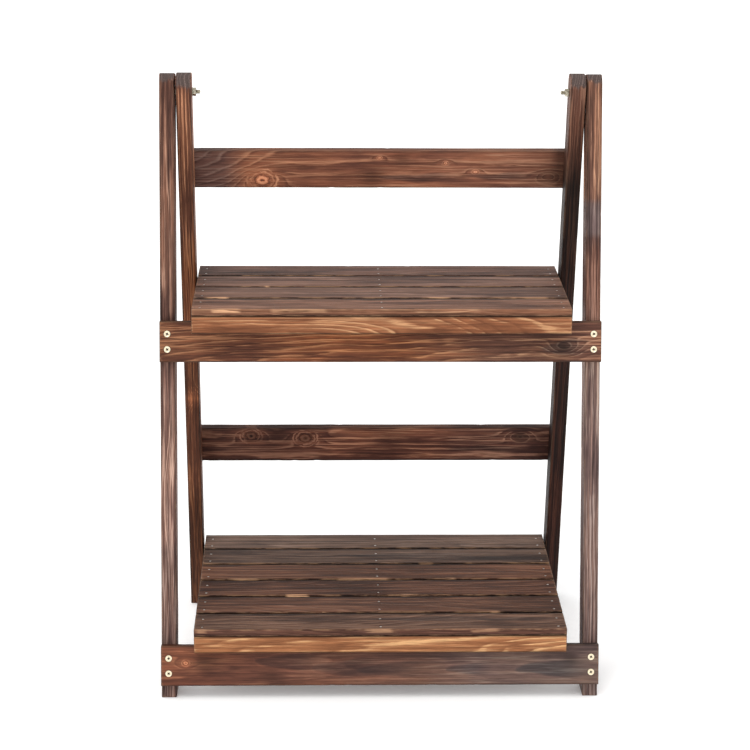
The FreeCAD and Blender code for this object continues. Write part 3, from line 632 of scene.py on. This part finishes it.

# per shelf: body, top, rear edge, slats, char and tint per slat from the rear, tint of the free edge,
# depth of the painted gap shade with char by slat, and splinters by slat (from, to, how bare)
SHELVES = (
    ("lower", "lower_shelf", 106.2286, 164.2794, 6, (0.16, -0.06, 0.03, -0.10, 0.03, 0.06),
     ((1.08, 1.20, 1.30), (0.82, 0.84, 0.86), (0.91, 0.70, 0.59), (0.75, 0.56, 0.48), (0.85, 0.69, 0.62), (0.84, 0.80, 0.79)), (-0.36, -0.47, -0.45),
     {2: 2.0, 3: 3.2, 4: 1.5, 5: 4.5, 6: 3.0}, {4: [(-132, -96, 1.0), (30, 60, 0.4)], 3: [(-60, 20, 0.4), (-215, -170, 0.4), (28, 37, 0.7), (97, 114, 0.6)], 2: [(60, 84, 0.35)], 5: [(150, 170, 0.4)], 6: [(120, 165, 0.3), (-22, 20, 0.35), (-253, -236, 0.35)]}),
    ("upper", "upper_shelf", 542.1971, 99.5806, 4, (-0.06, 0.08, 0.08, 0.12),
     ((0.90, 0.80, 0.82), (1.11, 1.05, 1.09), (1.08, 1.05, 1.10), (1.18, 1.08, 1.07)), (-0.14, -0.24, -0.34),
     {2: 2.5, 3: 3.0, 4: 4.2}, {4: [(-228, -188, 0.95), (-150, -70, 0.35), (40, 130, 0.4)], 3: [(-240, -205, 0.8), (60, 95, 0.5), (150, 230, 0.4)], 2: [(-165, -150, 0.9)]}),
)
TONGUES = {
    "lower": {2: [(-60, 4, 9, 260, (0.72, 0.78, 0.86))], 4: [(-190, -4, 7, 200, (0.74, 0.76, 0.80))], 5: [(-168, 0, 6, 330, (0.62, 0.66, 0.72))],
              6: [(-20, 8, 9, 200, (0.66, 0.72, 0.80)), (120, 6, 8, 160, (0.70, 0.76, 0.84))]},
    "upper": {1: [(-130, 0, 8, 260, (0.76, 0.78, 0.84))], 2: [(10, -8, 6, 190, (0.70, 0.72, 0.78))], 3: [(-150, -17, 6, 190, (0.58, 0.58, 0.62)), (90, -12, 6, 150, (0.66, 0.66, 0.70))],
              4: [(-40, 6, 7, 220, (0.76, 0.76, 0.80))]},
}
NAIL_X, NAIL_Y = (-243.0, 0.0, 243.0), (-17.5, 10.0)
nails = {}
for shelf, body, top, rear, count, chars, tint, edge_tint, gap_shade_and_char, torn in SHELVES:
    nails[shelf] = []
    for n in range(1, count + 1):
        mid = rear - (n - 1) * 60 - 27.5
        seed = (100 if shelf == "lower" else 200) + 7 * n
        side = -1 if n % 2 else 1
        grain = dict(pith=(side * (12 + 5 * n), -(30 + 9 * n)), tilt=(0.02 * side, 0.05 - 0.02 * n), ring=3.6 + 0.25 * n)
        cuts = [(x, dy, 1, 1.85, 2.0, 1.0) for x in NAIL_X for dy in NAIL_Y]
        ob = board("%s_slat_%d_board" % (shelf, n), body, "slat_wood", SLAT, (0, mid, top - 5), (X, Y, Z), (-254, 254), 27.5, 5.0, grain, seed,
                   tone=(chars[n - 1], 0.6, 0.75), tint=tint[n - 1], cuts=cuts, chips=1.6,
                   paint=slat_tone(edge_tint if n == count else None, torn.get(n, ()), seed, gap_shade_and_char.get(n, 0.0), TONGUES[shelf].get(n, ())))
        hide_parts("%s_slat_%d" % (shelf, n))
        nails[shelf] += [(x, mid + dy) for x in NAIL_X for dy in NAIL_Y]
    front = rear - (count * 60 - 5)
    if shelf == "lower":
        seed, gain, grain = 301, (0.97, 0.95, 0.93), dict(pith=(-12, -40), tilt=(0.008, 0.03), ring=3.3, drift=2.5)
    else:
        seed, gain, grain = 317, (0.78, 0.71, 0.73), dict(pith=(-18, -5), rise=(-100, 260, -54), ring=6.6, drift=1.6)
    ob = board("%s_front_lip_board" % shelf, body, "lip_wood", LIP, (0, front + 7, top - 22.5), (X, Z, -Y), (-254, 254), 12.5, 7.0, grain, seed,
               tone=(0.0, 1.7, 0.7), paint=lip_tone(np.array(gain)))
    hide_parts("%s_front_lip" % shelf)
    for k, (side, x) in enumerate((("left", -243), ("middle", 0), ("right", 243))):
        mid_y = (front + 14 + rear) / 2
        grain = dict(pith=(9 * (k - 1), -24 - 6 * k), tilt=(0.01, 0.03), ring=4.4)
        ob = board("%s_batten_%s_board" % (shelf, side), body, "batten_wood", BATTEN, (x, mid_y, top - 20), (Y, -X, Z),
                   (front + 14 - mid_y, rear - mid_y), 11.0, 10.0, grain, 400 + k + (10 if shelf == "upper" else 0), tone=(0.0, 0.7, 0.6))
        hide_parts("%s_batten_%s" % (shelf, side))


# ---- turned and threaded hardware, along +Z with the outer face of the head at 0
def turned(profile, seg=40):
    """Closed turned solid from (radius, z) points; the first and last may lie on the axis."""
    bm = bmesh.new()
    rings = []
    for r, z in profile:
        if r < 1e-6:
            rings.append([bm.verts.new((0, 0, z))])
        else:
            rings.append([bm.verts.new((r * math.cos(a), r * math.sin(a), z)) for a in np.linspace(0, 2 * math.pi, seg + 1)[:-1]])
    pairs = list(zip(rings, rings[1:]))
    if len(rings[0]) > 1 and len(rings[-1]) > 1:
        pairs.append((rings[-1], rings[0]))
    for a, b in pairs:
        for i in range(seg):
            j = (i + 1) % seg
            if len(a) == 1:
                bm.faces.new((a[0], b[j], b[i]))
            elif len(b) == 1:
                bm.faces.new((a[i], a[j], b[0]))
            else:
                bm.faces.new((a[i], a[j], b[j], b[i]))
    bmesh.ops.recalc_face_normals(bm, faces=bm.faces)
    return bm


def threaded(core, crest, z0, z1, pitch, seg=20, per=6, taper=0.0):
    """Closed shank with a helical thread; it tapers to its point over the last part."""
    bm = bmesh.new()
    rows = []
    zs = np.arange(z0, z1 + 1e-6, pitch / per)
    for z in zs:
        row = []
        for i in range(seg):
            a = 2 * math.pi * i / seg
            turn = (z / pitch - i / seg) % 1.0
            tooth = max(0.0, 1 - abs(turn - 0.5) / 0.32)
            r = core + (crest - core) * tooth * min(1.0, (z - z0) / pitch, (z1 - z) / pitch + 0.15)
            if taper:
                r *= min(1.0, 0.16 + (z1 - z) / taper)
            row.append(bm.verts.new((r * math.cos(a), r * math.sin(a), z)))
        rows.append(row)
    for a, b in zip(rows, rows[1:]):
        for i in range(seg):
            j = (i + 1) % seg
            bm.faces.new((a[i], a[j], b[j], b[i]))
    bm.faces.new(rows[0])
    bm.faces.new(rows[-1])
    bmesh.ops.recalc_face_normals(bm, faces=bm.faces)
    return bm


def to_mesh(bm, name):
    me = bpy.data.meshes.new(name)
    bm.to_mesh(me)
    bm.free()
    return me


def cross_cut(me, reach, width, depth):
    """Sinks a tapered cross into the head's outer face."""
    bm = bmesh.new()
    for turn in (0, math.pi / 2):
        low, high = [], []
        for sx, sy in ((-1, -1), (1, -1), (1, 1), (-1, 1)):
            for ring, z, kx, ky in ((high, -0.6, 1.0, 1.0), (low, depth, 0.5, 0.55)):
                x, y = sx * reach * kx, sy * width / 2 * ky
                ring.append(bm.verts.new((x * math.cos(turn) - y * math.sin(turn), x * math.sin(turn) + y * math.cos(turn), z)))
        bm.faces.new(high[::-1])
        bm.faces.new(low)
        for i in range(4):
            j = (i + 1) % 4
            bm.faces.new((high[i], high[j], low[j], low[i]))
    bmesh.ops.recalc_face_normals(bm, faces=bm.faces)
    head, tool = bpy.data.objects.new("head", me), bpy.data.objects.new("drive", to_mesh(bm, "drive"))
    for o in (head, tool):
        bpy.context.scene.collection.objects.link(o)
    mod = head.modifiers.new("drive", "BOOLEAN")
    mod.operation, mod.solver, mod.object, mod.use_self = "DIFFERENCE", "EXACT", tool, True
    bpy.context.view_layer.update()
    done = bpy.data.meshes.new_from_object(head.evaluated_get(bpy.context.evaluated_depsgraph_get()))
    drive = tool.data
    for o in (head, tool):
        bpy.data.objects.remove(o)
    bpy.data.meshes.remove(me)
    bpy.data.meshes.remove(drive)
    return done


def joined(meshes, name):
    bm = bmesh.new()
    for me in meshes:
        bm.from_mesh(me)
    out = to_mesh(bm, name)
    for me in meshes:
        bpy.data.meshes.remove(me)
    return out


def fasteners(name, node, body, material, pattern, spots, drive=(0.0, 0.0)):
    """Copies of a pattern as one piece; each spot is an origin, the direction that the fastener points and
    its turn.  drive is the radius and depth within which the head's recess is darkened: soiling with painted shade."""
    bm = bmesh.new()
    local = []
    base = np.array([v.co[:] for v in pattern.vertices])
    for k, (at, way, turn) in enumerate(spots):
        way = Vector(way).normalized()
        m = Matrix.Translation(Vector(at)) @ way.to_track_quat("Z", "Y").to_matrix().to_4x4() @ Matrix.Rotation(turn, 4, "Z")
        copy = pattern.copy()
        copy.transform(m)
        bm.from_mesh(copy)
        bpy.data.meshes.remove(copy)
        local.append(base * 0.001 + 0.173 * (k + 1))
    me = to_mesh(bm, name)
    at = me.attributes.new("gp", "FLOAT_VECTOR", "POINT")
    at.data.foreach_set("vector", np.concatenate(local).astype(np.float32).ravel())
    # mask of the drive recess, darkened in the finish: soiling with painted shade
    deep = np.where(base[:, 2] > 0.9, 1.0, np.where(base[:, 2] > 0.3, 0.10, 0.0))
    sunk = deep * (np.hypot(base[:, 0], base[:, 1]) < drive[0]) * (base[:, 2] < drive[1])
    at = me.attributes.new("dirt_and_shade", "FLOAT", "POINT")
    at.data.foreach_set("value", np.tile(sunk, len(spots)).astype(np.float32))
    me.transform(Matrix.Scale(0.001, 4))
    me.materials.clear()
    me.materials.append(material)
    me.polygons.foreach_set("use_smooth", [True] * len(me.polygons))
    me.polygons.foreach_set("material_index", [0] * len(me.polygons))
    me.set_sharp_from_angle(angle=math.radians(32))
    ob = bpy.data.objects.new(name, me)
    bpy.context.scene.collection.objects.link(ob)
    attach(ob, body)
    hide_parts(node)
    return ob


screw_head = cross_cut(to_mesh(turned([(0, 0.70), (2.2, 0.58), (3.2, 0.34), (3.55, 0.10), (4.0, 0.05), (4.38, 0.22), (4.52, 0.5), (4.4, 0.8), (2.0, 2.8), (1.75, 4.2), (0, 4.2)], 48), "screw_head"), 2.5, 1.5, 2.4)
screw = joined([screw_head, to_mesh(threaded(1.45, 2.0, 3.9, 37.9, 2.2, taper=6.0), "screw_thread")], "screw")
bolt_head = cross_cut(to_mesh(turned([(0, 0.0), (3.0, 0.05), (5.2, 0.3), (6.0, 0.65), (6.35, 1.2), (6.35, 2.0), (6.1, 2.2), (3.0, 2.2), (3.0, 34.0), (0, 34.0)], 56), "bolt_head"), 3.4, 1.7, 1.9)
bolt = joined([bolt_head, to_mesh(threaded(2.52, 2.98, 33.5, 55.1, 1.0, seg=28, per=8, taper=1.1), "bolt_thread")], "bolt")
shelf_head = cross_cut(to_mesh(turned([(0, 0.0), (3.0, 0.05), (5.2, 0.3), (6.0, 0.65), (6.35, 1.2), (6.35, 2.0), (6.1, 2.2), (3.0, 2.2), (3.0, 22.0), (0, 22.0)], 56), "shelf_head"), 3.4, 1.7, 1.9)
shelf_screw = joined([shelf_head, to_mesh(threaded(2.2, 2.98, 21.5, 41.1, 2.6, seg=24, taper=4.0), "shelf_thread")], "shelf_screw")
nail = to_mesh(turned([(0, 0.0), (0.8, 0.03), (1.4, 0.14), (1.66, 0.34), (1.68, 0.6), (1.5, 0.8), (0.8, 0.95), (0.8, 21.0), (0, 23.0)], 16), "nail")
# hexagon nut, chamfered on both faces
bm = bmesh.new()
seg, h = 72, 4.6
rows = [[] for _ in range(6)]
for i in range(seg):
    a = 2 * math.pi * i / seg
    r = 5.0 / math.cos((a % (math.pi / 3)) - math.pi / 6)
    drop = max(0.0, r - 4.8) * 0.55
    for row, (rr, z) in zip(rows, ((3.02, 0.35), (3.3, 0.0), (4.8, 0.0), (r, drop), (r, h - drop), (4.8, h))):
        row.append(bm.verts.new((rr * math.cos(a), rr * math.sin(a), z)))
rows += [[bm.verts.new((3.3 * math.cos(2 * math.pi * i / seg), 3.3 * math.sin(2 * math.pi * i / seg), h)) for i in range(seg)]]
rows += [[bm.verts.new((3.02 * math.cos(2 * math.pi * i / seg), 3.02 * math.sin(2 * math.pi * i / seg), h - 0.35)) for i in range(seg)]]
for a, b in zip(rows, rows[1:] + rows[:1]):
    for i in range(seg):
        j = (i + 1) % seg
        bm.faces.new((a[i], a[j], b[j], b[i]))
bmesh.ops.recalc_face_normals(bm, faces=bm.faces)
nut = to_mesh(bm, "nut")


def washer(t):
    return to_mesh(turned([(3.05, 0.12), (3.25, 0.0), (5.7, 0.0), (5.93, 0.12), (6.0, t * 0.5), (5.93, t - 0.12), (5.7, t), (3.25, t), (3.05, t - 0.12)], 48), "washer")


for label, body, s, half, ya, za, face in (
    ("front_rail_lower", "front_frame", 810.6, 300.0, FRONT_Y, FRONT_Z, -32.0),
    ("front_rail_upper", "front_frame", 365.7, 300.0, FRONT_Y, FRONT_Z, -32.0),
    ("back_rail_lower", "back_frame", 593.7, 277.5, BACK_Y, BACK_Z, 32.0),
    ("back_rail_upper", "back_frame", 150.8, 277.5, BACK_Y, BACK_Z, 32.0),
):
    way = ya * (-1 if face > 0 else 1)
    spots = []
    for i, sx in enumerate((-1, 1)):
        for j, v in enumerate(SCREW_V):
            at = PIVOT + X * sx * (half - 10.5) + ya * face + za * (28 - s + v) + way * 0.12
            spots.append((at, way, 0.5 + 1.9 * i + 1.1 * j + 0.01 * s))
    fasteners(label + "_wood_screws", label + "_screws", body, ZINC, screw, spots, (3.3, 2.6))

pair = [(sx, -X * sx) for sx in (-1, 1)]
fasteners("top_pivot_bolts", "pivot_bolts", "front_frame", BRIGHT, bolt, [(PIVOT + X * sx * 299.7, way, 0.4) for sx, way in pair], (3.6, 2.15))
fasteners("top_spacer_washers", "pivot_spacer_washers", "front_frame", BRIGHT, washer(1.1), [(PIVOT + X * sx * 279, way, 0) for sx, way in pair])
fasteners("top_end_washers", "pivot_end_washers", "front_frame", BRIGHT, washer(1.2), [(PIVOT + X * sx * 256.3, way, 0) for sx, way in pair])
fasteners("top_pivot_nuts", "pivot_nuts", "front_frame", BRIGHT, nut, [(PIVOT + X * sx * 255.1, way, 0.35) for sx, way in pair])
for shelf, body, top, rear, *_ in SHELVES:
    py = rear - (11.0 if shelf == "lower" else 35.0)
    c = np.array((0, py, top - 17.5))
    fasteners(shelf + "_pivot_wood_screws", shelf + "_shelf_pivot_screws", body, ZINC, shelf_screw, [(c + X * sx * 277.35, way, 0.7) for sx, way in pair], (3.6, 2.15))
    fasteners(shelf + "_pivot_washers", shelf + "_shelf_washers", body, ZINC, washer(1.6), [(c + X * sx * 255.6, way, 0) for sx, way in pair])
    fasteners(shelf + "_nails", shelf + "_slat_nails", body, STEEL, nail, [((x, y, top - 0.2), -Z, 0.3 * k) for k, (x, y) in enumerate(nails[shelf])])
for me in (screw, bolt, shelf_screw, nail, nut):
    bpy.data.meshes.remove(me)

# ---- floor, light and camera ------------------------------------------------
bm = bmesh.new()
bmesh.ops.create_circle(bm, cap_ends=True, segments=96, radius=40)
floor = bpy.data.objects.new("floor", to_mesh(bm, "floor"))
bpy.context.scene.collection.objects.link(floor)
t = Tree("pale_floor")
soft = t.noise(t.attr("position").outputs["Vector"], 2, 0.5, scale=3.0)
t.link(t.ramp(soft, [(0.3, (0.93, 0.93, 0.93)), (0.7, (0.96, 0.96, 0.96))]), t.bsdf.inputs["Base Color"])
t.bsdf.inputs["Roughness"].default_value = 0.9
t.bsdf.inputs["Specular IOR Level"].default_value = 0.1
t.bsdf.inputs["Emission Color"].default_value = (1.0, 1.0, 1.0, 1.0)
t.bsdf.inputs["Emission Strength"].default_value = 0.16
floor.data.materials.append(t.mat)

world = bpy.data.worlds.new("studio")
bpy.context.scene.world = world
world.use_nodes = True
bg = world.node_tree.nodes["Background"]
bg.inputs[0].default_value = (1.0, 1.0, 1.0, 1.0)
bg.inputs[1].default_value = 1.0


def sun(name, direction, strength, angle, colour=(1, 1, 1)):
    data = bpy.data.lights.new(name, "SUN")
    data.energy, data.angle, data.color = strength, math.radians(angle), colour
    ob = bpy.data.objects.new(name, data)
    ob.rotation_euler = Vector(direction).to_track_quat("-Z", "Y").to_euler()
    bpy.context.scene.collection.objects.link(ob)


sun("key", (0.35, 0.55, -1.05), 1.1, 32, (1.0, 0.985, 0.96))
sun("fill", (-0.6, 0.9, -0.4), 0.2, 60, (0.97, 0.985, 1.0))

yaw, pitch, roll, focal = 0.0269, 0.2722, -0.0073, 2227.3
ahead = Vector((math.sin(yaw) * math.cos(pitch), math.cos(yaw) * math.cos(pitch), -math.sin(pitch)))
right = Vector((math.cos(yaw), -math.sin(yaw), 0))
down = ahead.cross(right)
r2 = math.cos(roll) * right + math.sin(roll) * down
d2 = -math.sin(roll) * right + math.cos(roll) * down
cam = bpy.data.cameras.new("camera")
cam.sensor_width, cam.lens, cam.shift_y = 36.0, focal / 750 * 36, -0.08
cam.clip_end = 200
eye = bpy.data.objects.new("camera", cam)
bpy.context.scene.collection.objects.link(eye)
eye.matrix_world = Matrix([[r2[i], -d2[i], -ahead[i], (-0.08639, -2.98965, 1.33124)[i]] for i in range(3)] + [[0, 0, 0, 1]])
bpy.context.scene.camera = eye
bpy.context.scene.view_settings.view_transform = "Standard"
